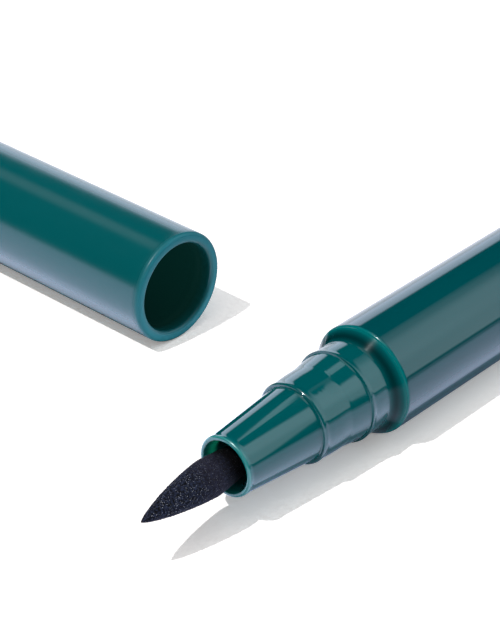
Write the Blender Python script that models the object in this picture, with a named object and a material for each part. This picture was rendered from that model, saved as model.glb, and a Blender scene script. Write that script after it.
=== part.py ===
"""Felt-tip liquid eyeliner, lying on a table with its cap taken off beside it.

Metres, +Z up. The origin is on the table, under the middle of everything that lies on it.
The pen lies along Y with its nib towards -Y. The cap lies along X with its mouth towards +X.
"""

from math import cos, pi, radians, sin

import bmesh
import bpy
from mathutils import Vector

# Least gap between the pieces
CLEARANCE = 0.0003

# Barrel
BARREL_RADIUS = 0.0050
BARREL_WALL = 0.0010
BARREL_LENGTH = 0.0920
BARREL_EDGE = 0.0003

# Tail plug
TAIL_FLANGE = 0.0020
TAIL_EDGE = 0.0008
TAIL_STEM = 0.0060
TAIL_WALL = 0.0009

# Front section, with distances forward from the front face of the barrel
SHOULDER_RADIUS = 0.00464
SHOULDER_FRONT_AT = 0.0012
NECK_BACK_RADIUS = 0.00405
NECK_FRONT_RADIUS = 0.00408
NECK_FRONT_AT = 0.00295
CREST_RADIUS = 0.00415
CREST_AT = 0.0033
RAMP_TOP_RADIUS = 0.00397
RAMP_TOP_AT = 0.00345
RAMP_FOOT_RADIUS = 0.00373
RAMP_FOOT_AT = 0.0054
SEAL_RADIUS = 0.0037
SEAL_AT = 0.0070
STEP_RADIUS = 0.00364
STEP_AT = 0.0088
STEP_CHAMFER = 0.00025
CONE_BASE_RADIUS = 0.0033
NOSE_AT = 0.01685
NOSE_RADIUS = 0.00268
NOSE_MOUTH_RADIUS = 0.0022
NOSE_LIP = 0.0002
NOSE_FLARE = 0.0006
NOSE_BORE_RADIUS = 0.00202
NOSE_BORE_DEPTH = 0.0056
CHAMBER_RADIUS = 0.0026
STEM_LENGTH = 0.0060
STEM_EDGE = 0.0003

# Nib
NIB_TIP_AT = 0.02625
NIB_WIDEST_AT = 0.01875
NIB_RADIUS = 0.00163
NIB_WAIST_RADIUS = 0.00145
NIB_SHANK_RADIUS = 0.0011
NIB_SHANK_IN_FIBRE = 0.0040
NIB_TIP_RINGS = 8
NIB_FULLNESS = 1.4
NIB_BLUNTNESS = 0.75

# Nib collar
COLLAR_LENGTH = 0.0040

# Reservoir
WRAP_THICKNESS = 0.0002

# Cap, with depths inward from its mouth
CAP_RADIUS = 0.00525
CAP_LENGTH = 0.0420
CAP_LIP = 0.0003
CAP_END_WALL = 0.0014
CAP_END_EDGE = 0.0008
CAP_BORE = 0.0042
SNAP_BEAD_AT = 0.0019
SNAP_BEAD_WIDTH = 0.0014
SNAP_BEAD_HEIGHT = 0.00012
STOP_BEAD_WIDTH = 0.0009
STOP_BEAD_HEIGHT = 0.00042

# Inner cap
INNER_CAP_AT = 0.0104
INNER_CAP_BORE_RADIUS = 0.0030
INNER_CAP_WALL = 0.00045
INNER_CAP_DEPTH = 0.0186
INNER_CAP_END_WALL = 0.0010
INNER_CAP_MOUTH_CHAMFER = 0.0002
GUIDE_RING_LENGTH = 0.0030
SPRING_POST_RADIUS = 0.0010
SPRING_POST_LENGTH = 0.0030

# Cap spring
SPRING_WIRE_RADIUS = 0.0002
SPRING_RADIUS = 0.0019
SPRING_TURNS = 8
SPRING_POINTS_PER_TURN = 10

# Where the two halves lie
CAP_MOUTH_FROM_PEN_AXIS = 0.0214
CAP_AXIS_BEHIND_BARREL_FACE = 0.00025

# Facets of the turned pieces
OUTER_SEGMENTS = 40
INNER_SEGMENTS = 28
EDGE_STEPS = 3
MERGE = 0.000001
SHARP_ANGLE = radians(28)

# Sizes that follow from the ones above
BARREL_BORE = BARREL_RADIUS - BARREL_WALL
STEM_RADIUS = BARREL_BORE - CLEARANCE
WRAP_RADIUS = BARREL_BORE - CLEARANCE
FIBRE_RADIUS = WRAP_RADIUS - WRAP_THICKNESS - CLEARANCE
FIBRE_FRONT = -(STEM_LENGTH + CLEARANCE)
FIBRE_BACK = -(BARREL_LENGTH - TAIL_STEM - CLEARANCE)
NIB_SHANK_END = FIBRE_FRONT - NIB_SHANK_IN_FIBRE
COLLAR_FRONT = NOSE_AT - NOSE_BORE_DEPTH - CLEARANCE
INNER_CAP_RADIUS = INNER_CAP_BORE_RADIUS + INNER_CAP_WALL
INNER_CAP_BACK = INNER_CAP_AT + INNER_CAP_DEPTH + INNER_CAP_END_WALL
GUIDE_RADIUS = CAP_BORE - CLEARANCE
GUIDE_FRONT = INNER_CAP_BACK - GUIDE_RING_LENGTH
STOP_BEAD_BACK = GUIDE_FRONT - CLEARANCE
FLAT_RATIO = cos(pi / OUTER_SEGMENTS)
PEN_AXIS_HEIGHT = BARREL_RADIUS * FLAT_RATIO
CAP_AXIS_HEIGHT = CAP_RADIUS * FLAT_RATIO
TAIL_END = BARREL_LENGTH + CLEARANCE + TAIL_FLANGE
WIDTH = PEN_AXIS_HEIGHT + CAP_MOUTH_FROM_PEN_AXIS + CAP_LENGTH
PEN_X = WIDTH / 2 - PEN_AXIS_HEIGHT
PEN_FACE_Y = (NIB_TIP_AT - TAIL_END) / 2
CAP_MOUTH_X = PEN_X - CAP_MOUTH_FROM_PEN_AXIS
CAP_Y = PEN_FACE_Y + CAP_AXIS_BEHIND_BARREL_FACE


def clear_scene():
    for old in list(bpy.data.objects):
        bpy.data.objects.remove(old)


def plastic(name, colour, roughness, metallic=0.0):
    material = bpy.data.materials.new(name)
    material.use_nodes = True
    shader = material.node_tree.nodes["Principled BSDF"]
    shader.inputs["Base Color"].default_value = (*colour, 1.0)
    shader.inputs["Roughness"].default_value = roughness
    shader.inputs["Metallic"].default_value = metallic
    return material


def axis_empty(name, location, rotation):
    empty = bpy.data.objects.new(name, None)
    empty.location = location
    empty.rotation_euler = rotation
    bpy.context.collection.objects.link(empty)
    return empty


def add_object(name, data, parent, material):
    obj = bpy.data.objects.new(name, data)
    obj.parent = parent
    data.materials.append(material)
    bpy.context.collection.objects.link(obj)
    return obj


def shade_round(mesh):
    mesh.shade_smooth()
    mesh.set_sharp_from_angle(angle=SHARP_ANGLE)


def rounded(radius, along, size, start, end):
    """Points of a rounded edge about a centre, from one angle to another, 0 outward and 90 forward."""
    angles = [radians(start + (end - start) * i / EDGE_STEPS) for i in range(EDGE_STEPS + 1)]
    return [(radius + size * cos(a), along + size * sin(a)) for a in angles]


def turned(name, outline, segments, parent, material):
    """Spin (radius, distance along the axis) points once round local Z, a flat side facing the table.

    An outline that starts and ends on the axis gives a solid piece, any other is closed into a ring.
    """
    mesh = bpy.data.meshes.new(name)
    bm = bmesh.new()
    first = pi / segments
    verts = [bm.verts.new((r * cos(first), r * sin(first), along)) for r, along in outline]
    edges = [bm.edges.new(pair) for pair in zip(verts, verts[1:])]
    if outline[0][0] > 0:
        edges.append(bm.edges.new((verts[-1], verts[0])))
    bmesh.ops.spin(
        bm,
        geom=verts + edges,
        cent=(0, 0, 0),
        axis=(0, 0, 1),
        angle=2 * pi,
        steps=segments,
        use_merge=True,
    )
    bmesh.ops.remove_doubles(bm, verts=bm.verts, dist=MERGE)
    bmesh.ops.recalc_face_normals(bm, faces=bm.faces)
    bm.to_mesh(mesh)
    bm.free()
    shade_round(mesh)
    return add_object(name, mesh, parent, material)


def make_barrel(parent, material):
    back = -BARREL_LENGTH
    outline = [
        (BARREL_BORE, 0),
        *rounded(BARREL_RADIUS - BARREL_EDGE, -BARREL_EDGE, BARREL_EDGE, 90, 0),
        (BARREL_RADIUS, back),
        (BARREL_BORE, back),
    ]
    return turned("barrel", outline, OUTER_SEGMENTS, parent, material)


def make_tail_plug(parent, material):
    """A cup: its flange covers the end of the barrel, and its open stem stops the reservoir."""
    flange_front = -(BARREL_LENGTH + CLEARANCE)
    end = -TAIL_END
    stem_front = -(BARREL_LENGTH - TAIL_STEM)
    cup_radius = STEM_RADIUS - TAIL_WALL
    outline = [
        (0, flange_front),
        (cup_radius, flange_front),
        (cup_radius, stem_front),
        (STEM_RADIUS, stem_front),
        (STEM_RADIUS, flange_front),
        (BARREL_RADIUS, flange_front),
        *rounded(BARREL_RADIUS - TAIL_EDGE, end + TAIL_EDGE, TAIL_EDGE, 0, -90),
        (0, end),
    ]
    return turned("tail_plug", outline, OUTER_SEGMENTS, parent, material)


def make_front_section(parent, material):
    """One turned moulding: hollow cone, step, seal, long ramp to a crest, neck, shoulder and stem."""
    chamber_front = NOSE_AT - NOSE_BORE_DEPTH
    outline = [
        (NOSE_BORE_RADIUS, NOSE_AT - NOSE_FLARE),
        *rounded(NOSE_MOUTH_RADIUS + NOSE_LIP, NOSE_AT - NOSE_LIP, NOSE_LIP, 180, 90),
        *rounded(NOSE_RADIUS - NOSE_LIP, NOSE_AT - NOSE_LIP, NOSE_LIP, 90, 0),
        (CONE_BASE_RADIUS, STEP_AT),
        (STEP_RADIUS - STEP_CHAMFER, STEP_AT),
        (STEP_RADIUS, STEP_AT - STEP_CHAMFER),
        (SEAL_RADIUS, SEAL_AT),
        (RAMP_FOOT_RADIUS, RAMP_FOOT_AT),
        (RAMP_TOP_RADIUS, RAMP_TOP_AT),
        (CREST_RADIUS, CREST_AT),
        (NECK_FRONT_RADIUS, NECK_FRONT_AT),
        (NECK_BACK_RADIUS, SHOULDER_FRONT_AT),
        (SHOULDER_RADIUS, CLEARANCE),
        (STEM_RADIUS, CLEARANCE),
        (STEM_RADIUS, STEM_EDGE - STEM_LENGTH),
        (STEM_RADIUS - STEM_EDGE, -STEM_LENGTH),
        (CHAMBER_RADIUS, -STEM_LENGTH),
        (CHAMBER_RADIUS, chamber_front),
        (NOSE_BORE_RADIUS, chamber_front),
    ]
    return turned("front_section", outline, OUTER_SEGMENTS, parent, material)


def nib_tip_point(share):
    """Radius and place of the felt at a share of the way from its widest ring to its point."""
    radius = NIB_RADIUS * (1 - share**NIB_FULLNESS) ** NIB_BLUNTNESS
    return radius, NIB_WIDEST_AT + (NIB_TIP_AT - NIB_WIDEST_AT) * share


def make_nib(parent, material):
    """The felt: a leaf-shaped tip, a slight waist in the opening and a straight shank."""
    tip = [nib_tip_point(i / NIB_TIP_RINGS) for i in range(NIB_TIP_RINGS)]
    neck_foot = NOSE_AT - NOSE_BORE_DEPTH / 2
    outline = [
        (0, NIB_TIP_AT),
        *reversed(tip),
        (NIB_WAIST_RADIUS, NOSE_AT - NOSE_LIP),
        (NIB_SHANK_RADIUS, neck_foot),
        (NIB_SHANK_RADIUS, NIB_SHANK_END),
        (0, NIB_SHANK_END),
    ]
    return turned("nib", outline, INNER_SEGMENTS, parent, material)


def make_nib_collar(parent, material):
    back = COLLAR_FRONT - COLLAR_LENGTH
    bore = NIB_SHANK_RADIUS + CLEARANCE
    radius = CHAMBER_RADIUS - CLEARANCE
    outline = [
        (bore, COLLAR_FRONT),
        (radius, COLLAR_FRONT),
        (radius, back),
        (bore, back),
    ]
    return turned("nib_collar", outline, INNER_SEGMENTS, parent, material)


def make_reservoir_fibre(parent, material):
    """A rod with a blind hole in its front end for the shank of the nib."""
    hole = NIB_SHANK_RADIUS + CLEARANCE
    outline = [
        (0, NIB_SHANK_END - CLEARANCE),
        (hole, NIB_SHANK_END - CLEARANCE),
        (hole, FIBRE_FRONT),
        (FIBRE_RADIUS, FIBRE_FRONT),
        (FIBRE_RADIUS, FIBRE_BACK),
        (0, FIBRE_BACK),
    ]
    return turned("reservoir_fibre", outline, INNER_SEGMENTS, parent, material)


def make_reservoir_wrap(parent, material):
    inside = WRAP_RADIUS - WRAP_THICKNESS
    outline = [
        (inside, FIBRE_FRONT),
        (WRAP_RADIUS, FIBRE_FRONT),
        (WRAP_RADIUS, FIBRE_BACK),
        (inside, FIBRE_BACK),
    ]
    return turned("reservoir_wrap", outline, INNER_SEGMENTS, parent, material)


def make_cap_shell(parent, material):
    """The outer cap, with a snap bead near its mouth and a stop bead that keeps the inner cap in."""
    bead_slope = SNAP_BEAD_WIDTH / 2
    stop_slope = STOP_BEAD_WIDTH / 2
    floor = -(CAP_LENGTH - CAP_END_WALL)
    outline = [
        (0, floor),
        (CAP_BORE, floor),
        (CAP_BORE, -STOP_BEAD_BACK),
        (CAP_BORE - STOP_BEAD_HEIGHT, -(STOP_BEAD_BACK - stop_slope)),
        (CAP_BORE, -(STOP_BEAD_BACK - STOP_BEAD_WIDTH)),
        (CAP_BORE, -(SNAP_BEAD_AT + bead_slope)),
        (CAP_BORE - SNAP_BEAD_HEIGHT, -SNAP_BEAD_AT),
        (CAP_BORE, -(SNAP_BEAD_AT - bead_slope)),
        *rounded(CAP_BORE + CAP_LIP, -CAP_LIP, CAP_LIP, 180, 90),
        *rounded(CAP_RADIUS - CAP_LIP, -CAP_LIP, CAP_LIP, 90, 0),
        *rounded(CAP_RADIUS - CAP_END_EDGE, CAP_END_EDGE - CAP_LENGTH, CAP_END_EDGE, 0, -90),
        (0, -CAP_LENGTH),
    ]
    return turned("cap_shell", outline, OUTER_SEGMENTS, parent, material)


def make_inner_cap(parent, material):
    """A cup that slides in the cap: chamfered mouth, guide ring at its back and a post in its spring."""
    depth = -INNER_CAP_DEPTH
    back = depth - INNER_CAP_END_WALL
    outline = [
        (0, depth),
        (INNER_CAP_BORE_RADIUS, depth),
        (INNER_CAP_BORE_RADIUS, -INNER_CAP_MOUTH_CHAMFER),
        (INNER_CAP_BORE_RADIUS + INNER_CAP_MOUTH_CHAMFER, 0),
        (INNER_CAP_RADIUS, 0),
        (INNER_CAP_RADIUS, back + GUIDE_RING_LENGTH),
        (GUIDE_RADIUS, back + GUIDE_RING_LENGTH),
        (GUIDE_RADIUS, back),
        (SPRING_POST_RADIUS, back),
        (SPRING_POST_RADIUS, back - SPRING_POST_LENGTH),
        (0, back - SPRING_POST_LENGTH),
    ]
    return turned("inner_cap", outline, INNER_SEGMENTS, parent, material)


def make_cap_spring(parent, material):
    """A coil between the back of the inner cap and the closed end of the cap."""
    end_gap = CLEARANCE + SPRING_WIRE_RADIUS
    front = -(INNER_CAP_BACK + end_gap)
    back = -(CAP_LENGTH - CAP_END_WALL - end_gap)
    count = SPRING_TURNS * SPRING_POINTS_PER_TURN
    curve = bpy.data.curves.new("cap_spring", "CURVE")
    curve.dimensions = "3D"
    curve.bevel_depth = SPRING_WIRE_RADIUS
    curve.bevel_resolution = 1
    curve.use_fill_caps = True
    spline = curve.splines.new("POLY")
    spline.points.add(count)
    for i, point in enumerate(spline.points):
        turn = 2 * pi * i / SPRING_POINTS_PER_TURN
        along = front + (back - front) * i / count
        point.co = (SPRING_RADIUS * cos(turn), SPRING_RADIUS * sin(turn), along, 1)
    return add_object("cap_spring", curve, parent, material)


def main():
    clear_scene()
    teal = plastic("teal_plastic", (0.0, 0.105, 0.105), 0.12)
    pen_axis = axis_empty("pen_axis", (PEN_X, PEN_FACE_Y, PEN_AXIS_HEIGHT), (pi / 2, 0, 0))
    cap_axis = axis_empty("cap_axis", (CAP_MOUTH_X, CAP_Y, CAP_AXIS_HEIGHT), (0, pi / 2, 0))
    inner_cap_mouth = Vector((CAP_MOUTH_X - INNER_CAP_AT, CAP_Y, CAP_AXIS_HEIGHT))
    inner_cap_axis = axis_empty("inner_cap_axis", inner_cap_mouth, (0, pi / 2, 0))

    make_barrel(pen_axis, teal)
    make_tail_plug(pen_axis, plastic("tail_plastic", (0.0, 0.095, 0.095), 0.15))
    make_front_section(pen_axis, plastic("front_plastic", (0.0, 0.11, 0.10), 0.1))
    make_nib(pen_axis, plastic("ink_soaked_felt", (0.012, 0.014, 0.022), 0.9))
    make_nib_collar(pen_axis, plastic("collar_plastic", (0.75, 0.75, 0.72), 0.4))
    make_reservoir_fibre(pen_axis, plastic("ink_soaked_fibre", (0.02, 0.03, 0.04), 0.95))
    make_reservoir_wrap(pen_axis, plastic("wrap_film", (0.8, 0.82, 0.84), 0.2))
    make_cap_shell(cap_axis, plastic("cap_plastic", (0.0, 0.10, 0.095), 0.12))
    make_inner_cap(inner_cap_axis, plastic("inner_cap_plastic", (0.01, 0.07, 0.065), 0.35))
    make_cap_spring(cap_axis, plastic("spring_steel", (0.55, 0.55, 0.56), 0.3, metallic=1.0))


main()
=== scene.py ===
"""A felt-tip eyeliner on a white table, with its cap taken off and lying beside it."""

from math import cos, pi, radians, sin

import bmesh
import bpy
from mathutils import Matrix, Vector, noise


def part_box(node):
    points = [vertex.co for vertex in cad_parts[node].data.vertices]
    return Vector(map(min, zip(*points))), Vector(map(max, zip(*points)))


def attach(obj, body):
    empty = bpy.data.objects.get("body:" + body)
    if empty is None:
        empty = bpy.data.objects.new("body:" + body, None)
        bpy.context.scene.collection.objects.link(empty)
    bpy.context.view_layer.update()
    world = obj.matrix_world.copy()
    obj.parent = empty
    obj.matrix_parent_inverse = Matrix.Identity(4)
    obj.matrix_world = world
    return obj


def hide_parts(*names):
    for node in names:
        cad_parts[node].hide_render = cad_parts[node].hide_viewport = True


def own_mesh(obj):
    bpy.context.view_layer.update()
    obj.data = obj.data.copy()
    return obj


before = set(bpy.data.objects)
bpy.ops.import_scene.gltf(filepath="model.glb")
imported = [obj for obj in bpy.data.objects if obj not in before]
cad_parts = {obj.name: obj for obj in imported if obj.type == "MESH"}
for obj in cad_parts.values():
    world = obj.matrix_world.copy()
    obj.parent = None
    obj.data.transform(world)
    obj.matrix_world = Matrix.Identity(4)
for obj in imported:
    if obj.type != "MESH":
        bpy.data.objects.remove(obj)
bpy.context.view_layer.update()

MM = 0.001
SEGMENTS = 256
FINE_SEGMENTS = 360
HIDDEN_SEGMENTS = 192
SMALL_SEGMENTS = 96
SHARP_ANGLE = radians(35)

# Where the frame puts the two halves
barrel_low, barrel_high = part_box("barrel")
cap_low, cap_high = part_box("cap_shell")
pen_radius = barrel_high.z / 2 / MM
cap_radius = cap_high.z / 2 / MM
pen_x = (barrel_low.x + barrel_high.x) / 2
cap_y = (cap_low.y + cap_high.y) / 2
# Local Z points out of the barrel's face towards the nib, and out of the cap's mouth
pen_axis = Matrix.Translation((pen_x, barrel_low.y, pen_radius * MM)) @ Matrix.Rotation(pi / 2, 4, "X")
cap_axis = Matrix.Translation((cap_high.x, cap_y, cap_radius * MM)) @ Matrix.Rotation(pi / 2, 4, "Y")

# The pen in millimetres, with places along it from the barrel's face
BARREL_LENGTH = 92.0
BARREL_BORE = 4.0
BACK_EDGE = 0.08
TAIL_END = 94.3
NOSE_AT = 16.85
NOSE_BORE = 2.02
STEP_AT = 8.8
NIB_TIP_AT = 26.25
NIB_WIDEST_AT = 18.75
NIB_RADIUS = 1.63
NIB_SHANK_RADIUS = 1.1
NIB_SHANK_END = -10.3
NIB_BENDS_FROM = 16.0
FELT_SHOWS_FROM = 15.0
RESERVOIR_FRONT = -6.3
RESERVOIR_BACK = -85.7

# The cap in millimetres, with places into it from its mouth
CAP_LENGTH = 42.0
CAP_END_WALL = 1.4
CAP_BORE = 4.2
INNER_CAP_AT = 10.4
INNER_CAP_FLOOR = 29.0
INNER_CAP_BACK = 30.0

# The camera in millimetres, fitted to the rims and edges in the photograph
CAMERA_AT = (126.88, -155.26, 107.55)
CAMERA_LOOKS_AT = (9.59, -26.33, 0)
CAMERA_LENS = 128.19

# The table's own colour, then what the camera sees: its colour and a small even glow, which keeps
# the shadow's tone flat
BOARD_COLOUR = "F0F0F0"
SEEN_COLOUR = (1.0, 0.945, 0.925)
SEEN_GLOW_COLOUR = (1.0, 0.985, 0.985, 1.0)
SEEN_GLOW = 0.24

# How bright each piece mirrors the table, as (millimetres along X or Y, level): painted shade under each
# piece, painted light beside it
LEVELS_BESIDE_PEN = [
    (33.0, 0.42), (33.8, 0.40), (34.3, 0.52), (35.0, 0.90), (35.8, 1.22), (36.7, 1.24), (38, 1.21),
    (40, 1.14), (42, 1.11), (45, 1.04), (51, 0.99), (66, 0.93), (85, 0.86), (125, 0.33),
]
LEVELS_BESIDE_CAP = [
    (110, 0.95), (0, 1.0), (-31, 1.05), (-33, 0.4), (-35.6, 0.06), (-36.0, 0.08), (-36.5, 0.22),
    (-36.85, 0.45), (-37.3, 0.62), (-37.8, 0.95), (-38.3, 1.35), (-38.9, 1.72), (-39.5, 1.95),
    (-40.4, 1.85), (-42.6, 1.52), (-49, 1.36), (-67, 1.25), (-120, 1.2),
]
LEVELS_BETWEEN = [(110, 0.9), (0, 0.84), (-25, 0.88), (-31, 1.2), (-35, 1.75), (-60, 1.6), (-120, 1.2)]
# The ramps hold a third of each level, which keeps them below 1, so the tints are three times as strong
RAMP_DIVISOR = 3
# painted tints of the studio's light, for the table in reflections
LAVENDER = (3.0, 3.2, 4.4)
PALE_GREY = (2.85, 2.9, 3.3)

# The studio's soft panels: corners as (azimuth, elevation), softness of each edge, colour, strength
STUDIO_PANELS = [
    # the white sweep behind the table
    ([(120, -25), (120, 14.7), (160, 28.6), (160, -25)], [0.12, 0.05, 0.1, 0.1], "DFE8FF", 2.0),
    # its brighter left end
    ([(139, -12), (139, 25), (166, 30), (166, -12)], [0.12, 0.05, 0.1, 0.1], "DFE8FF", 0.7),
    # the large softbox on the right
    ([(74, -2.3), (29.6, 5.2), (21.3, 44.9), (86.5, 52.1)], [0.03, 0.015, 0.037, 0.22], "DFF4FF", 1.85),
    # the brighter upper end of that softbox
    ([(50, 27), (8, 30), (8, 42.5), (66, 54.5)], [0.12, 0.1, 0.035, 0.12], "DFF4FF", 0.57),
    # the narrow overhead strip
    ([(96.5, 58.2), (130.2, 52.6), (132, 54.8), (103, 62.5)], [0.01, 0.012, 0.015, 0.015], "D4F4FF", 2.1),
    # the glow between the strip and the softbox
    ([(100, 44), (103, 57), (90, 58), (88, 44)], [0.02, 0.02, 0.05, 0.06], "E8F6FF", 0.3),
    # the soft light over the cap
    ([(161, 44), (185, 45), (183, 54), (163, 53)], [0.05, 0.08, 0.05, 0.08], "E8F6FF", 0.85),
    # the glow of the table's front edge
    ([(190, -8), (190, 2.5), (250, 2.5), (250, -8)], [0.1, 0.07, 0.1, 0.1], "DFE6FF", 1.5),
]
# The wide fill in front and overhead lights the object and isn't mirrored in it
FILL_PANEL = ([(238, 15), (352, 15), (350, 75), (240, 75)], [0.2, 0.2, 0.1, 0.2], "FFF6EC", 0.9)


def hex_colour(text):
    """An sRGB hex colour as linear red, green, blue and alpha."""
    parts = [int(text[i : i + 2], 16) / 255 for i in (0, 2, 4)]
    return (*[p / 12.92 if p <= 0.04045 else ((p + 0.055) / 1.055) ** 2.4 for p in parts], 1.0)


def set_inputs(tree, node, inputs):
    """Fill or link a node's inputs by name or number. Text is a hex colour."""
    for name, value in inputs.items():
        if isinstance(value, bpy.types.NodeSocket):
            tree.links.new(value, node.inputs[name])
        else:
            node.inputs[name].default_value = hex_colour(value) if isinstance(value, str) else value


def add_node(tree, kind, inputs=None, **properties):
    """Add a node, set its properties, and fill or link its inputs."""
    made = tree.nodes.new(kind)
    for name, value in properties.items():
        setattr(made, name, value)
    set_inputs(tree, made, inputs or {})
    return made


def layered(tree, under, layers, data_type="RGBA"):
    """A colour with others laid over it in order, each by its share."""
    for share, over in layers:
        under = add_node(tree, "ShaderNodeMix", {
            "Factor": share, "A": under, "B": over,
        }, data_type=data_type).outputs["Result"]
    return under


def set_stops(ramp, stops):
    """Give a colour ramp its (position, colour) stops, in order. Text is a hex colour."""
    points = ramp.color_ramp.elements
    while len(points) < len(stops):
        points.new(1.0)
    for point, (position, colour) in zip(points, stops):
        point.position = position
        point.color = hex_colour(colour) if isinstance(colour, str) else colour


def new_material(name):
    """A material, its node tree, its shader and the place on the piece, in metres."""
    material = bpy.data.materials.new(name)
    material.use_nodes = True
    tree = material.node_tree
    place = add_node(tree, "ShaderNodeTexCoord").outputs["Object"]
    return material, tree, tree.nodes["Principled BSDF"], place


def from_axis(tree, place):
    """The distance from local Z, and the place's X, Y and Z."""
    parts = add_node(tree, "ShaderNodeSeparateXYZ", {"Vector": place}).outputs
    flat = add_node(tree, "ShaderNodeCombineXYZ", {"X": parts["X"], "Y": parts["Y"]})
    out = add_node(tree, "ShaderNodeVectorMath", {0: flat.outputs[0]}, operation="LENGTH")
    return out.outputs["Value"], parts


def near_ring(tree, place, radius, along, reach):
    """1 on a circle round local Z, fading to 0 at the reach. All in millimetres."""
    out, parts = from_axis(tree, place)
    profile = add_node(tree, "ShaderNodeCombineXYZ", {"X": out, "Y": parts["Z"]})
    distance = add_node(tree, "ShaderNodeVectorMath", {
        0: profile.outputs[0], 1: (radius * MM, along * MM, 0),
    }, operation="DISTANCE")
    return add_node(tree, "ShaderNodeMapRange", {
        "Value": distance.outputs["Value"],
        "From Min": 0.0, "From Max": reach * MM, "To Min": 1.0, "To Max": 0.0,
    }, interpolation_type="SMOOTHSTEP").outputs[0]


def bore_shade(tree, place, radius, depth):
    """The painted shade in the cap's bore, and the strength of a painted glow standing for light through
    its wall, most at the far side.
    """
    out, parts = from_axis(tree, place)
    wall = 0.2
    inside = add_node(tree, "ShaderNodeMapRange", {
        "Value": out,
        "From Min": radius * MM, "From Max": (radius + wall) * MM, "To Min": 1.0, "To Max": 0.0,
    })
    deep = add_node(tree, "ShaderNodeMapRange", {
        "Value": parts["Z"], "From Min": 0.0, "From Max": -depth * MM,
    })
    dark = add_node(tree, "ShaderNodeMath", {
        0: inside.outputs[0], 1: deep.outputs[0],
    }, operation="MULTIPLY").outputs[0]
    far_wall = add_node(tree, "ShaderNodeMapRange", {
        "Value": parts["Y"],
        "From Min": -radius * MM, "From Max": radius * MM, "To Min": 0.4, "To Max": 1.3,
    })
    through = add_node(tree, "ShaderNodeMath", {0: dark, 1: far_wall.outputs[0]}, operation="MULTIPLY")
    return dark, through.outputs[0]


def moulded_gloss_plastic(name, colour, shade, roughness, edges=(), rubbed=(), bore=None, painted_daylight=None):
    """Injection-moulded polypropylene from a polished mould, a deep teal masterbatch.

    The mould's polish gives clean reflections. Faint flow marks vary the colour by a few percent
    over some millimetres, handling has left the gloss uneven over about 1 mm, and the skin has a
    very low ripple about 2 mm long.

    Some rings round the axis differ, each given by its radius, place and reach in millimetres.
    Each of edges has its own colour, painted light and shade: thin lips and edges are lighter as
    painted highlights, and the root of the shoulder is darker as painted shade. Each of rubbed has
    another polish, mostly where the cap has rubbed it: how much rougher it is, and how much duller,
    which is negative where it shines more. The last argument is a ring inside the cone's thin wall,
    with a painted glow (emission) on its lit side that stands for light through the wall, and its colour.

    The bore, given by its radius and the depth over which its colour darkens as painted shade, was
    shaped by an unpolished core pin. Its dim green light is a painted glow (emission), most at the far
    wall.
    """
    material, tree, shader, place = new_material(name)
    flow = add_node(tree, "ShaderNodeMapping", {"Vector": place, "Scale": (260.0, 260.0, 60.0)})
    marks = add_node(tree, "ShaderNodeTexNoise", {"Vector": flow.outputs[0], "Scale": 1.0, "Detail": 3.0})
    handling = add_node(tree, "ShaderNodeTexNoise", {"Vector": place, "Scale": 900.0, "Detail": 4.0})
    rough = add_node(tree, "ShaderNodeMapRange", {
        "Value": handling.outputs["Fac"], "From Min": 0.3, "From Max": 0.75,
        "To Min": roughness, "To Max": roughness + 0.03,
    }).outputs[0]
    gloss = 0.5

    tints = [(marks.outputs["Fac"], shade)]
    # painted light and shade: lighter lips and edges as painted highlights, a darker shoulder root as
    # painted shade
    tints += [(near_ring(tree, place, *ring), painted_colour) for *ring, painted_colour in edges]
    polishes = [(near_ring(tree, place, *ring), rougher, duller) for *ring, rougher, duller in rubbed]
    if bore:
        # painted shade darkens the bore's colour, and a painted green glow (emission) lights its wall
        dark, through = bore_shade(tree, place, *bore)
        tints.append((dark, "001A15"))
        polishes.append((dark, 0.35, 0.4))
        set_inputs(tree, shader, {"Emission Color": "031B18", "Emission Strength": through})
    if painted_daylight:
        # a painted glow (emission) on the lit side of the thin wall, standing for light through it
        *ring, light_colour = painted_daylight
        lit_side = add_node(tree, "ShaderNodeMapRange", {
            "Value": add_node(tree, "ShaderNodeSeparateXYZ", {"Vector": place}).outputs["X"],
            "From Min": 0.2 * MM, "From Max": -1.4 * MM,
        })
        through = add_node(tree, "ShaderNodeMath", {
            0: near_ring(tree, place, *ring), 1: lit_side.outputs[0],
        }, operation="MULTIPLY").outputs[0]
        set_inputs(tree, shader, {"Emission Color": light_colour, "Emission Strength": through})
    for share, rougher, duller in polishes:
        rough, gloss = [
            add_node(tree, "ShaderNodeMath", {
                0: share, 1: change, 2: level,
            }, operation="MULTIPLY_ADD").outputs[0]
            for change, level in ((rougher, rough), (-duller, gloss))
        ]

    ripple = add_node(tree, "ShaderNodeTexNoise", {"Vector": place, "Scale": 500.0, "Detail": 1.0})
    skin = add_node(tree, "ShaderNodeBump", {
        "Strength": 0.25, "Distance": 0.004 * MM, "Height": ripple.outputs["Fac"],
    })
    set_inputs(tree, shader, {
        "Base Color": layered(tree, colour, tints), "Roughness": rough, "Specular IOR Level": gloss,
        "IOR": 1.5, "Normal": skin.outputs[0],
    })
    return material


def moulded_satin_plastic(name, colour, shade):
    """Injection-moulded polyethylene or acetal from a spark-eroded mould: a soft, even sheen.

    The grain is about 0.1 mm, and slow tone changes of a few percent come from uneven cooling.
    """
    material, tree, shader, place = new_material(name)
    cooling = add_node(tree, "ShaderNodeTexNoise", {"Vector": place, "Scale": 220.0, "Detail": 2.0})
    tint = layered(tree, colour, [(cooling.outputs["Fac"], shade)])
    sheen = add_node(tree, "ShaderNodeMapRange", {
        "Value": cooling.outputs["Fac"], "To Min": 0.36, "To Max": 0.44,
    })
    grain = add_node(tree, "ShaderNodeTexNoise", {"Vector": place, "Scale": 10000.0, "Detail": 2.0})
    skin = add_node(tree, "ShaderNodeBump", {
        "Strength": 0.4, "Distance": 0.006 * MM, "Height": grain.outputs["Fac"],
    })
    set_inputs(tree, shader, {
        "Base Color": tint, "Roughness": sheen.outputs[0], "IOR": 1.51, "Normal": skin.outputs[0],
    })
    return material


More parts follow.
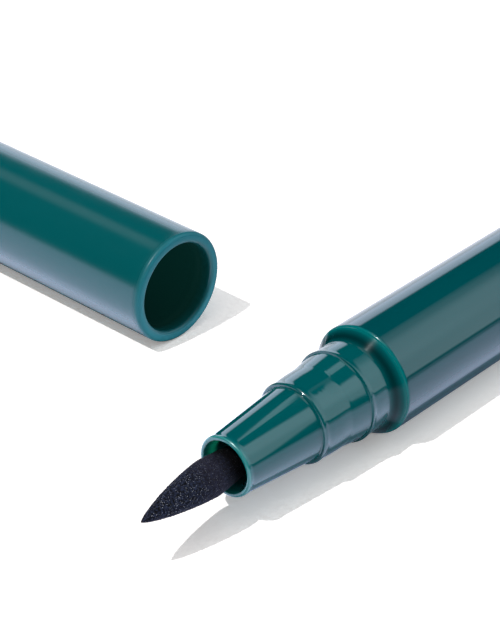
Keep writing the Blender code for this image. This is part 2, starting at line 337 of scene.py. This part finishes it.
def bonded_fibre(name):
    """Polyester fibre drawn into a rod and heat-bonded, soaked with dark ink.

    The fibres run along the rod in strands about 0.15 mm wide. Single fibres are too fine to show.
    """
    material, tree, shader, place = new_material(name)
    drawn = add_node(tree, "ShaderNodeMapping", {"Vector": place, "Scale": (7000.0, 7000.0, 250.0)})
    strands = add_node(tree, "ShaderNodeTexNoise", {
        "Vector": drawn.outputs[0], "Scale": 1.0, "Detail": 3.0,
    })
    tint = add_node(tree, "ShaderNodeValToRGB", {"Fac": strands.outputs["Fac"]})
    set_stops(tint, [(0.3, "10141C"), (0.75, "2C3442")])
    relief = add_node(tree, "ShaderNodeBump", {
        "Strength": 0.8, "Distance": 0.05 * MM, "Height": strands.outputs["Fac"],
    })
    set_inputs(tree, shader, {
        "Base Color": tint.outputs["Color"], "Roughness": 0.7, "Normal": relief.outputs[0],
    })
    return material


def clear_film(name):
    """Clear polyester film, wound and heat-sealed: nearly invisible, with faint drawn lines along it."""
    material, tree, shader, place = new_material(name)
    drawn = add_node(tree, "ShaderNodeMapping", {"Vector": place, "Scale": (2500.0, 2500.0, 60.0)})
    lines = add_node(tree, "ShaderNodeTexNoise", {"Vector": drawn.outputs[0], "Scale": 1.0, "Detail": 2.0})
    tint = layered(tree, "EEF2F4", [(lines.outputs["Fac"], "FAFCFD")])
    haze = add_node(tree, "ShaderNodeMapRange", {
        "Value": lines.outputs["Fac"], "To Min": 0.04, "To Max": 0.14,
    })
    set_inputs(tree, shader, {
        "Base Color": tint, "Roughness": haze.outputs[0], "Transmission Weight": 1.0, "IOR": 1.57,
    })
    return material


def drawn_steel(name):
    """Stainless spring wire, drawn through a die: bright, with marks under 0.1 mm wide in its gloss."""
    material, tree, shader, place = new_material(name)
    marks = add_node(tree, "ShaderNodeTexNoise", {"Vector": place, "Scale": 12000.0, "Detail": 3.0})
    tint = layered(tree, "B4B4B6", [(marks.outputs["Fac"], "CCCCCE")])
    dull = add_node(tree, "ShaderNodeMapRange", {
        "Value": marks.outputs["Fac"], "To Min": 0.2, "To Max": 0.4,
    })
    set_inputs(tree, shader, {"Base Color": tint, "Roughness": dull.outputs[0], "Metallic": 1.0})
    return material


def sintered_felt(name):
    """Ink-soaked polyester felt, ground to a point: dark navy fibre ends with small pale specks, painted
    glints.

    The grain is about 0.18 mm, as wide as a bundle of fibres, and the glints are about 0.08 mm.
    Single fibres are too fine to show. The glints are on the ground point. Behind it the felt is
    pressed smooth, with a lighter violet-grey painted in as sheen, and its root is painted black as
    the shade of the nose's rim.
    """
    material, tree, shader, place = new_material(name)
    grain = add_node(tree, "ShaderNodeTexNoise", {
        "Vector": place, "Scale": 5500.0, "Detail": 6.0, "Roughness": 0.72,
    })
    ground = add_node(tree, "ShaderNodeValToRGB", {"Fac": grain.outputs["Fac"]})
    set_stops(ground, [(0.44, "030409"), (0.6, "272D42")])
    # a lighter violet-grey ring behind the point: painted sheen
    smooth = add_node(tree, "ShaderNodeMath", {
        0: near_ring(tree, place, 1.6, 19.0, 2.6), 1: 0.65,
    }, operation="MULTIPLY")
    along = add_node(tree, "ShaderNodeSeparateXYZ", {"Vector": place}).outputs["Z"]
    # painted shade: the root turns black where the nose's rim shades it
    painted_root_shade = add_node(tree, "ShaderNodeMapRange", {
        "Value": along, "From Min": 18.4 * MM, "From Max": 17.0 * MM,
    })

    # pale specks on the ground point: painted glints of the fibre ends, more towards the tip
    cells = add_node(tree, "ShaderNodeTexVoronoi", {"Vector": place, "Scale": 12500.0})
    fibre_ends = add_node(tree, "ShaderNodeSeparateColor", {"Color": cells.outputs["Color"]})
    glints_toward_tip = add_node(tree, "ShaderNodeMapRange", {
        "Value": along, "From Min": 18.0 * MM, "From Max": 22.0 * MM, "To Min": 0.15, "To Max": 1.0,
    })
    bright = add_node(tree, "ShaderNodeMapRange", {
        "Value": fibre_ends.outputs["Red"], "From Min": 0.74, "From Max": 0.96, "To Max": glints_toward_tip.outputs[0],
    })
    centre = add_node(tree, "ShaderNodeMapRange", {
        "Value": cells.outputs["Distance"], "From Min": 0.36, "From Max": 0.12,
    })
    painted_glint = add_node(tree, "ShaderNodeMath", {
        0: bright.outputs[0], 1: centre.outputs[0],
    }, operation="MULTIPLY")

    tint = layered(tree, ground.outputs["Color"], [
        (smooth.outputs[0], "1F1D29"), (painted_root_shade.outputs[0], "040305"), (painted_glint.outputs[0], "CFD3DE"),
    ])
    relief = add_node(tree, "ShaderNodeBump", {
        "Strength": 1.0, "Distance": 0.1 * MM, "Height": grain.outputs["Fac"],
    })
    set_inputs(tree, shader, {
        "Base Color": tint, "Roughness": 0.6, "Specular IOR Level": 0.1, "IOR": 1.45,
        "Normal": relief.outputs[0],
    })
    return material


def arc(radius, along, size, start, end, steps=6):
    """Points of a rounded edge about a centre, from one angle to another, 0 outward and 90 forward."""
    turns = [radians(start + (end - start) * i / steps) for i in range(steps + 1)]
    return [(radius + size * cos(a), along + size * sin(a)) for a in turns]


def straight(start, end, steps):
    """Points from start up to, but not including, end."""
    return [tuple(s + (e - s) * i / steps for s, e in zip(start, end)) for i in range(steps)]


def closed_end(radius, end, dimple):
    """Outline of a moulded end: its rounded edge, then a shallow dimple with the gate mark in it."""
    edge = 0.8
    return [
        *arc(radius - edge, end + edge, edge, 0, -90, 10),
        *arc(dimple - 0.2, end, 0.2, 0, 60, 3),
        (dimple - 0.4, end + 0.25),
        (0.5, end + 0.25),
        (0.35, end + 0.1),
        (0, end + 0.1),
    ]


def new_piece(name, bm, axis, material):
    """An object from a bmesh, shaded smooth but for its sharp edges."""
    bmesh.ops.recalc_face_normals(bm, faces=bm.faces)
    mesh = bpy.data.meshes.new(name)
    bm.to_mesh(mesh)
    bm.free()
    mesh.shade_smooth()
    mesh.set_sharp_from_angle(angle=SHARP_ANGLE)
    mesh.materials.append(material)
    piece = bpy.data.objects.new(name, mesh)
    piece.matrix_world = axis
    bpy.context.scene.collection.objects.link(piece)
    return piece


def turned(name, outline, axis, material, body, node, segments=SEGMENTS, shape=None):
    """A piece turned round its local Z from (radius, distance) points in millimetres.

    An outline that starts and ends on the axis gives a solid piece, any other is closed into a ring.
    shape(radius, along, angle) may change the radius from point to point.
    """
    bm = bmesh.new()
    rings = []
    for radius, along in outline:
        if radius == 0:
            rings.append([bm.verts.new((0, 0, along * MM))])
            continue
        ring = []
        for i in range(segments):
            angle = 2 * pi * i / segments
            out = shape(radius, along, angle) if shape else radius
            ring.append(bm.verts.new((out * cos(angle) * MM, out * sin(angle) * MM, along * MM)))
        rings.append(ring)
    pairs = list(zip(rings, rings[1:]))
    if outline[0][0] > 0:
        pairs.append((rings[-1], rings[0]))
    for one, two in pairs:
        for i in range(segments):
            j = (i + 1) % segments
            corners = [one[i % len(one)], one[j % len(one)], two[j % len(two)], two[i % len(two)]]
            bm.faces.new(list(dict.fromkeys(corners)))
    piece = new_piece(name, bm, axis, material)
    even = piece.modifiers.new("even_normals", "WEIGHTED_NORMAL")
    even.keep_sharp = True
    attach(piece, body)
    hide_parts(node)
    return piece


def make_barrel(material):
    """Tube with a rounded front edge."""
    edge = 0.28
    outline = [
        (BARREL_BORE, -0.05),
        (BARREL_BORE + 0.05, 0),
        (pen_radius - edge - 0.05, 0),
        *arc(pen_radius - edge, -edge, edge, 90, 0),
        (pen_radius, -edge - 0.1),
        (pen_radius, -BARREL_LENGTH + 0.2),
        *arc(pen_radius - BACK_EDGE, BACK_EDGE - BARREL_LENGTH, BACK_EDGE, 0, -90, 4),
        (BARREL_BORE, -BARREL_LENGTH),
    ]
    return turned("barrel_tube", outline, pen_axis, material, "pen", "barrel")


def make_tail_plug(material):
    """Hollow plug with a closed end, a fine gap behind the barrel."""
    front = -(BARREL_LENGTH + 0.06)
    outer, hollow, reach = 3.7, 2.8, 6
    outline = [
        (0, front),
        (hollow, front),
        (hollow, front + reach),
        *arc(outer - 0.1, front + reach - 0.1, 0.1, 90, 0, 3),
        (outer, front),
        *arc(pen_radius - BACK_EDGE, front - BACK_EDGE, BACK_EDGE, 90, 0, 4),
        *closed_end(pen_radius, -TAIL_END, 1.5),
    ]
    return turned("tail_end_plug", outline, pen_axis, material, "pen", "tail_plug")


def make_front_section(material):
    """The part that carries the nib and the cap, with a bore that is wider behind for the collar."""
    shoulder_radius, shoulder_back = 4.86, 0.02
    spigot_radius, spigot_end = 3.95, -6.0
    rear_bore, rear_bore_end = 2.6, 11.25
    outline = [
        # bore and thin flared lip
        (NOSE_BORE, rear_bore_end),
        (NOSE_BORE, NOSE_AT - 1.0),
        (2.12, NOSE_AT - 0.75),
        (2.26, NOSE_AT - 0.40),
        *arc(2.44, NOSE_AT - 0.14, 0.13, 165, 90),
        *arc(2.49, NOSE_AT - 0.22, 0.21, 90, 0),
        (2.705, NOSE_AT - 0.34),
        (2.69, NOSE_AT - 0.42),
        (2.68, NOSE_AT - 0.50),
        # cone and rounded step
        (2.687, NOSE_AT - 0.70),
        (3.305, STEP_AT + 0.16),
        (3.32, STEP_AT + 0.07),
        (3.37, STEP_AT),
        *arc(3.45, STEP_AT - 0.21, 0.21, 90, 0),
        (3.66, STEP_AT - 0.26),
        (3.655, STEP_AT - 0.34),
        (3.63, STEP_AT - 0.46),
        # slightly tapered seal with soft rings
        (3.640, 8.05),
        (3.655, 7.72),
        (3.664, 7.58),
        (3.668, 7.44),
        (3.680, 7.20),
        (3.687, 7.10),
        (3.689, 7.00),
        (3.697, 6.86),
        (3.702, 6.76),
        (3.711, 6.3),
        (3.718, 5.75),
        (3.722, 5.56),
        (3.729, 5.48),
        (3.742, 5.38),
        (3.755, 5.28),
        # ramp
        *straight((3.768, 5.17), (3.975, 3.46), 12),
        (3.975, 3.46),
        # crest that the cap snaps over
        (3.99, 3.435),
        (4.10, 3.40),
        *arc(4.11, 3.35, 0.05, 80, 0, 4),
        (4.157, 3.28),
        (4.15, 3.20),
        (4.125, 3.08),
        (4.105, 2.98),
        (4.098, 2.88),
        # neck
        *straight((4.095, 2.75), (4.052, 1.32), 8),
        (4.052, 1.32),
        (4.056, 1.25),
        (4.075, 1.18),
        (4.115, 1.11),
        # conical shoulder
        *straight((4.16, 1.045), (shoulder_radius, shoulder_back + 0.03), 10),
        (shoulder_radius, shoulder_back + 0.03),
        (shoulder_radius, shoulder_back),
        # spigot in the barrel
        (spigot_radius, shoulder_back),
        (spigot_radius, spigot_end + 0.3),
        (spigot_radius - 0.3, spigot_end),
        (rear_bore, spigot_end),
        (rear_bore, rear_bore_end),
    ]
    return turned("nib_holder", outline, pen_axis, material, "pen", "front_section", FINE_SEGMENTS)


def felt_grain(radius, along, angle):
    """Uneven surface of the ground felt, about 0.04 mm deep, on the part that shows."""
    if along < FELT_SHOWS_FROM:
        return radius
    point = Vector((radius * cos(angle), radius * sin(angle), along))
    coarse = noise.noise(point * 5.0)
    fine = noise.noise(point * 11.0)
    ends = max(noise.noise(point * 7.0 + Vector((3.1, 7.7, 1.3))) - 0.25, 0)
    return radius * (1 + 0.008 * coarse) + (0.034 * fine + 0.07 * ends) * min(1.0, radius / 0.5)


def make_nib(material):
    """Felt ground to a long point, with a waist behind it and a shank that reaches into the reservoir."""
    rings = 150
    tip = []
    for i in range(rings):
        # the rings lie closer together towards the tip
        share = 1 - (1 - i / rings) ** 1.3
        radius = NIB_RADIUS * (1 - share**1.4) ** 0.75
        tip.append((radius, NIB_WIDEST_AT + (NIB_TIP_AT - NIB_WIDEST_AT) * share))
    waist, shank_from = (1.45, 16.63), (NIB_SHANK_RADIUS, 14.05)
    outline = [
        (0, NIB_TIP_AT),
        *reversed(tip),
        *straight((1.625, 18.65), waist, 24),
        *straight(waist, shank_from, 10),
        shank_from,
        (NIB_SHANK_RADIUS, NIB_SHANK_END),
        (0, NIB_SHANK_END),
    ]
    nib = turned("felt_nib", outline, pen_axis, material, "pen", "nib", shape=felt_grain)
    # the soft point has bent a little towards the table in use
    for vertex in nib.data.vertices:
        ahead = vertex.co.z / MM - NIB_BENDS_FROM
        if ahead > 0:
            vertex.co.y -= 0.0015 * ahead**2 * MM
    return nib


def make_cap_shell(material):
    """Tube with a closed end and a rounded lip, a ring that stops the inner cap and a ring that snaps."""
    floor = CAP_END_WALL - CAP_LENGTH
    stop_at, stop_height = -26.25, 0.42
    snap_at, snap_height, snap_steps = -1.9, 0.12, 8
    inner_edge, outer_edge = 0.36, 0.32
    outline = [
        (0, floor),
        (CAP_BORE, floor),
        (CAP_BORE, stop_at - 0.45),
        (CAP_BORE - stop_height, stop_at),
        (CAP_BORE, stop_at + 0.45),
        (CAP_BORE, -3.2),
        *[
            (CAP_BORE - snap_height * (0.5 + 0.5 * cos(pi * i / snap_steps)), snap_at + 0.0875 * i)
            for i in range(-snap_steps, snap_steps + 1)
        ],
        (CAP_BORE, -1.0),
        (CAP_BORE, -0.45),
        *arc(CAP_BORE + inner_edge, -inner_edge, inner_edge, 180, 90),
        *arc(cap_radius - outer_edge, -outer_edge, outer_edge, 90, 0),
        (cap_radius, -0.45),
        (cap_radius, -CAP_LENGTH + 1.0),
        *closed_end(cap_radius, -CAP_LENGTH, 1.6),
    ]
    return turned("outer_cap", outline, cap_axis, material, "cap", "cap_shell")


def make_inner_cap(material):
    """Cup with a rounded mouth, a collar behind and a stem that reaches into the spring."""
    mouth = -INNER_CAP_AT
    back = -INNER_CAP_BACK
    bore, collar, stem = 3.0, 3.9, 1.0
    outline = [
        (0, -INNER_CAP_FLOOR),
        (bore, -INNER_CAP_FLOOR),
        *arc(bore + 0.2, mouth - 0.2, 0.2, 180, 90, 4),
        *arc(3.37, mouth - 0.08, 0.08, 90, 0, 4),
        (3.45, back + 3.15),
        (3.6, back + 3),
        *arc(collar - 0.1, back + 2.9, 0.1, 90, 0, 4),
        *arc(collar - 0.1, back + 0.1, 0.1, 0, -90, 4),
        (stem, back),
        (stem, back - 2.8),
        (stem - 0.2, back - 3),
        (0, back - 3),
    ]
    return turned("inner_seal_cup", outline, cap_axis, material, "inner_cap", "inner_cap")


def make_nib_collar(material):
    """Ring round the nib's shank, with a shallow groove between its two edges."""
    bore, outer, groove = 1.4, 2.3, 2.22
    front, back = 10.95, 6.95
    outline = [
        (bore, front - 0.1),
        (bore + 0.1, front),
        *arc(outer - 0.1, front - 0.1, 0.1, 90, 0, 4),
        (outer, 10.1),
        (groove, 10.0),
        (groove, 7.9),
        (outer, 7.8),
        *arc(outer - 0.1, back + 0.1, 0.1, 0, -90, 4),
        (bore + 0.1, back),
        (bore, back + 0.1),
    ]
    return turned("nib_guide_collar", outline, pen_axis, material, "pen", "nib_collar", SMALL_SEGMENTS)


def make_reservoir_fibre(material):
    """Fibre rod with a hole in its front end for the nib's shank."""
    front, back = RESERVOIR_FRONT, RESERVOIR_BACK
    radius, edge = 3.2, 0.1
    hole, hole_end = 1.4, -10.6
    outline = [
        (0, hole_end),
        (hole, hole_end),
        (hole, front - edge),
        (hole + edge, front),
        (radius - edge, front),
        (radius, front - edge),
        *straight((radius, front - 1), (radius, back + 1), 40),
        (radius, back + edge),
        (radius - edge, back),
        (0, back),
    ]

    def strands(out, along, angle):
        """Shallow strands that run along the rod's side."""
        if out < radius - edge / 2:
            return out
        return out - 0.02 - 0.02 * noise.noise(Vector((cos(angle) * 9, sin(angle) * 9, along * 0.05)))

    return turned(
        "ink_reservoir", outline, pen_axis, material, "pen", "reservoir_fibre", HIDDEN_SEGMENTS, strands
    )


def make_reservoir_wrap(material):
    """Film round the fibre rod."""
    front, back = RESERVOIR_FRONT, RESERVOIR_BACK
    inner, outer = 3.5, 3.7
    outline = [
        (inner, front),
        (outer, front),
        *straight((outer, front - 1), (outer, back), 12),
        (outer, back),
        (inner, back),
    ]

    def lapped(out, along, angle):
        """The film's edge lies over its other edge along one line."""
        away = min(abs(angle - pi) / 0.05, 1.0)
        lap = 1 - away * away * (3 - 2 * away)
        return out - 0.08 * lap * (out < outer - 0.1)

    return turned(
        "reservoir_film", outline, pen_axis, material, "pen", "reservoir_wrap", HIDDEN_SEGMENTS, lapped
    )


def make_cap_spring(material):
    """Round wire in eight turns with its end turns closed, swept as a tube."""
    turns, steps, sides = 8, 48, 12
    coil_radius, wire = 1.9, 0.2
    start, length = -30.7, 9.2
    end_turns = 0.9
    open_turns = turns - 2 * end_turns
    closed_pitch = 0.42
    open_pitch = (length - 2 * end_turns * closed_pitch) / open_turns
    bm = bmesh.new()
    rings = []
    for i in range(turns * steps + 1):
        turn = i / steps
        rise = min(turn, end_turns) * closed_pitch
        rise += min(max(turn - end_turns, 0), open_turns) * open_pitch
        rise += max(turn - (turns - end_turns), 0) * closed_pitch
        angle = 2 * pi * turn
        out = Vector((cos(angle), sin(angle), 0))
        centre = out * coil_radius + Vector((0, 0, start - rise))
        ring = []
        for k in range(sides):
            around = 2 * pi * k / sides
            towards = out * cos(around) + Vector((0, 0, sin(around)))
            ring.append(bm.verts.new((centre + towards * wire) * MM))
        rings.append(ring)
    for one, two in zip(rings, rings[1:]):
        for k in range(sides):
            bm.faces.new([one[k], one[(k + 1) % sides], two[(k + 1) % sides], two[k]])
    for ring in (rings[0], rings[-1]):
        bm.faces.new(ring)
    spring = new_piece("inner_cap_spring", bm, cap_axis, material)
    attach(spring, "cap")
    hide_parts("cap_spring")
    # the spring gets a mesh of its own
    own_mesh(spring)


def make_camera():
    camera = bpy.data.objects.new("camera", bpy.data.cameras.new("camera"))
    camera.data.lens = CAMERA_LENS
    camera.data.sensor_width = 36.0
    camera.data.clip_start = 0.001
    place = Vector(CAMERA_AT) * MM
    target = Vector(CAMERA_LOOKS_AT) * MM
    camera.location = place
    camera.rotation_euler = (target - place).to_track_quat("-Z", "Y").to_euler()
    bpy.context.scene.collection.objects.link(camera)
    bpy.context.scene.camera = camera


def direction(azimuth, elevation):
    """Unit vector at an azimuth from +X towards +Y and an elevation, in degrees."""
    a, e = radians(azimuth), radians(elevation)
    return Vector((cos(a) * cos(e), sin(a) * cos(e), sin(e)))


def soft_panel(tree, look, corners, softness, colour, strength):
    """Light of one studio panel: a four-cornered patch of the sky with soft edges.

    The corners are (azimuth, elevation), in order, and each edge after a corner has its own softness,
    as the sine of the angle over which it fades to either side.
    """
    tips = [direction(*corner) for corner in corners]
    middle = sum(tips, Vector())
    level = strength
    for tip, after, soft in zip(tips, tips[1:] + tips[:1], softness):
        inward = tip.cross(after).normalized()
        if inward.dot(middle) < 0:
            inward.negate()
        side = add_node(tree, "ShaderNodeVectorMath", {0: look, 1: inward}, operation="DOT_PRODUCT")
        share = add_node(tree, "ShaderNodeMapRange", {
            "Value": side.outputs["Value"], "From Min": -soft, "From Max": soft,
        }, interpolation_type="SMOOTHSTEP")
        level = add_node(tree, "ShaderNodeMath", {
            0: share.outputs[0], 1: level,
        }, operation="MULTIPLY").outputs[0]
    return add_node(tree, "ShaderNodeVectorMath", {
        0: hex_colour(colour)[:3], "Scale": level,
    }, operation="SCALE").outputs[0]


def make_world():
    """A dark studio with a few large soft panels. The camera sees white past the table."""
    world = bpy.data.worlds.new("studio")
    bpy.context.scene.world = world
    world.use_nodes = True
    tree = world.node_tree
    tree.nodes.clear()
    look = add_node(tree, "ShaderNodeTexCoord").outputs["Generated"]
    paths = add_node(tree, "ShaderNodeLightPath").outputs
    panels = [soft_panel(tree, look, *panel) for panel in STUDIO_PANELS]
    lights = add_node(tree, "ShaderNodeMath", {0: 1.0, 1: paths["Is Glossy Ray"]}, operation="SUBTRACT")
    fill = add_node(tree, "ShaderNodeVectorMath", {
        0: soft_panel(tree, look, *FILL_PANEL), "Scale": lights.outputs[0],
    }, operation="SCALE")
    # the soft light overhead sets in with the sine of the elevation
    zenith = add_node(tree, "ShaderNodeMapRange", {
        "Value": add_node(tree, "ShaderNodeSeparateXYZ", {"Vector": look}).outputs["Z"],
        "From Min": 0.895, "From Max": 0.935, "To Max": 1.1,
    }, interpolation_type="SMOOTHSTEP")
    total = zenith.outputs[0]
    for panel in [*panels, fill.outputs[0]]:
        total = add_node(tree, "ShaderNodeVectorMath", {0: total, 1: panel}, operation="ADD").outputs[0]
    light = add_node(tree, "ShaderNodeBackground", {"Color": total, "Strength": 1.0})
    white = add_node(tree, "ShaderNodeBackground", {"Color": (1, 1, 1, 1), "Strength": 1.0})
    mixed = add_node(tree, "ShaderNodeMixShader", {
        0: paths["Is Camera Ray"], 1: light.outputs[0], 2: white.outputs[0],
    })
    add_node(tree, "ShaderNodeOutputWorld", {"Surface": mixed.outputs[0]})


def make_key_light():
    """The small hard light that draws the shadows, high in front on the left."""
    lamp = bpy.data.lights.new("key", "SUN")
    lamp.energy = 2.45
    lamp.angle = radians(1.6)
    key = bpy.data.objects.new("key", lamp)
    key.rotation_euler = direction(257.0, 61.4).to_track_quat("Z", "Y").to_euler()
    bpy.context.scene.collection.objects.link(key)


def level_along(tree, along, start, end, levels):
    """The table's level at a place in metres, from levels between start and end in millimetres."""
    share = add_node(tree, "ShaderNodeMapRange", {
        "Value": along, "From Min": start * MM, "From Max": end * MM,
    })
    ramp = add_node(tree, "ShaderNodeValToRGB", {"Fac": share.outputs[0]})
    set_stops(ramp, [
        ((position - start) / (end - start), (*[level / RAMP_DIVISOR] * 3, 1.0))
        for position, level in levels
    ])
    return ramp.outputs["Color"]


def mirrored_table(tree, place):
    """The table in reflections: painted shade in a strip under each piece, painted light brightest beside
    it, then dimmer.

    It is lavender, as the studio's light is, and a paler grey behind the cap: painted tints of that light.
    """
    parts = add_node(tree, "ShaderNodeSeparateXYZ", {"Vector": place}).outputs
    # the strip of painted shade under the pen lies further in beside its slimmer front
    slimmer = add_node(tree, "ShaderNodeMapRange", {
        "Value": parts["Y"], "From Min": -33.5 * MM, "From Max": -46 * MM, "To Max": 2.6 * MM,
    })
    out_from_pen = add_node(tree, "ShaderNodeMath", {0: parts["X"], 1: slimmer.outputs[0]}).outputs[0]
    beside_pen = level_along(tree, out_from_pen, 30, 150, LEVELS_BESIDE_PEN)
    beside_cap = level_along(tree, parts["Y"], 120, -130, LEVELS_BESIDE_CAP)
    between = level_along(tree, parts["Y"], 120, -130, LEVELS_BETWEEN)
    past_mouth, by_the_pen, behind_cap = [
        add_node(tree, "ShaderNodeMapRange", {
            "Value": parts[letter], "From Min": start * MM, "From Max": end * MM,
        }, interpolation_type="SMOOTHSTEP").outputs[0]
        for letter, start, end in (("X", 8.5, 11.5), ("X", 28, 33), ("Y", -40, -34))
    ]
    level = layered(tree, beside_cap, [(past_mouth, between), (by_the_pen, beside_pen)], "VECTOR")
    tint = layered(tree, LAVENDER, [(behind_cap, PALE_GREY), (by_the_pen, LAVENDER)], "VECTOR")
    return add_node(tree, "ShaderNodeVectorMath", {0: level, 1: tint}, operation="MULTIPLY").outputs[0]


def make_table():
    """Matt white board with a mottle about 0.4 mm wide. Where lit, the camera sees it over white."""
    half = 2.0
    corners = [(-half, -half, 0), (half, -half, 0), (half, half, 0), (-half, half, 0)]
    mesh = bpy.data.meshes.new("table")
    mesh.from_pydata(corners, [], [(0, 1, 2, 3)])
    material = bpy.data.materials.new("matt_white_board")
    material.use_nodes = True
    tree = material.node_tree
    tree.nodes.clear()
    place = add_node(tree, "ShaderNodeTexCoord").outputs["Object"]
    paths = add_node(tree, "ShaderNodeLightPath").outputs
    paper = add_node(tree, "ShaderNodeTexNoise", {"Vector": place, "Scale": 2600.0, "Detail": 3.0})
    mottle = add_node(tree, "ShaderNodeMapRange", {
        "Value": paper.outputs["Fac"], "To Min": 0.7, "To Max": 1.3,
    })
    seen = add_node(tree, "ShaderNodeVectorMath", {
        0: SEEN_COLOUR, "Scale": mottle.outputs[0],
    }, operation="SCALE").outputs[0]
    board = layered(tree, hex_colour(BOARD_COLOUR)[:3], [
        (paths["Is Camera Ray"], seen), (paths["Is Glossy Ray"], mirrored_table(tree, place)),
    ], "VECTOR")
    glow = add_node(tree, "ShaderNodeMath", {0: paths["Is Camera Ray"], 1: SEEN_GLOW}, operation="MULTIPLY")
    surface = add_node(tree, "ShaderNodeBsdfDiffuse", {"Color": board})
    veil = add_node(tree, "ShaderNodeEmission", {"Color": SEEN_GLOW_COLOUR, "Strength": glow.outputs[0]})
    both = add_node(tree, "ShaderNodeAddShader", {0: surface.outputs[0], 1: veil.outputs[0]})
    add_node(tree, "ShaderNodeOutputMaterial", {"Surface": both.outputs[0]})
    mesh.materials.append(material)
    table = bpy.data.objects.new("table", mesh)
    bpy.context.scene.collection.objects.link(table)


make_camera()
make_world()
make_key_light()
make_table()

barrel_plastic = moulded_gloss_plastic(
    "barrel_polypropylene_polished", "004449", "004045", 0.05,
    # the lighter front rim is a painted highlight
    edges=[(4.9, -0.02, 0.34, "006A6C")],
    rubbed=[(4.95, -0.02, 0.3, 0.15, 0.38)],
)
front_plastic = moulded_gloss_plastic(
    "nib_holder_polypropylene_polished", "004E51", "004A4E", 0.05,
    # painted highlights on the nose's lip and the shoulder's rim, painted shade at the shoulder's root
    edges=[
        (2.45, 16.75, 0.6, "147072"), (2.66, 16.74, 0.11, "2A8482"),
        (4.37, 0.74, 0.8, "00282B"), (4.86, 0.05, 0.3, "005E60"),
    ],
    rubbed=[
        (4.2, 0.98, 0.6, 0.03, 0.31), (4.5, 0.55, 0.6, 0.03, 0.31), (4.8, 0.12, 0.6, 0.03, 0.35),
        (3.58, 8.7, 0.2, 0.06, -0.45), (2.66, 16.76, 0.3, 0.2, -0.45),
    ],
    # a painted glow inside the nose's thin wall, on its lit side
    painted_daylight=(1.9, 16.1, 0.68, "075A42"),
)
cap_plastic = moulded_gloss_plastic(
    "cap_polypropylene_polished", "005054", "004B4F", 0.17,
    # the lighter lip is a painted highlight
    edges=[(4.75, 0.0, 0.8, "2C8090")],
    rubbed=[(4.85, -0.1, 1.0, 0.25, 0.42)],
    # painted shade and a painted glow in the bore
    bore=(4.3, 1.3),
)
plug_plastic = moulded_gloss_plastic("tail_plug_polypropylene_polished", "004B50", "00464B", 0.06)
cup_plastic = moulded_satin_plastic("inner_cap_polyethylene_satin", "0A4A4A", "084444")
collar_acetal = moulded_satin_plastic("collar_acetal_natural", "E4E3DC", "DAD9D2")
felt = sintered_felt("nib_polyester_felt_ground")
fibre = bonded_fibre("reservoir_polyester_fibre_bonded")
film = clear_film("reservoir_polyester_film_clear")
wire = drawn_steel("spring_steel_wire_drawn")

make_barrel(barrel_plastic)
make_tail_plug(plug_plastic)
make_front_section(front_plastic)
make_nib(felt)
make_nib_collar(collar_acetal)
make_reservoir_fibre(fibre)
make_reservoir_wrap(film)
make_cap_shell(cap_plastic)
make_inner_cap(cup_plastic)
make_cap_spring(wire)

bpy.context.scene.view_settings.view_transform = "Standard"
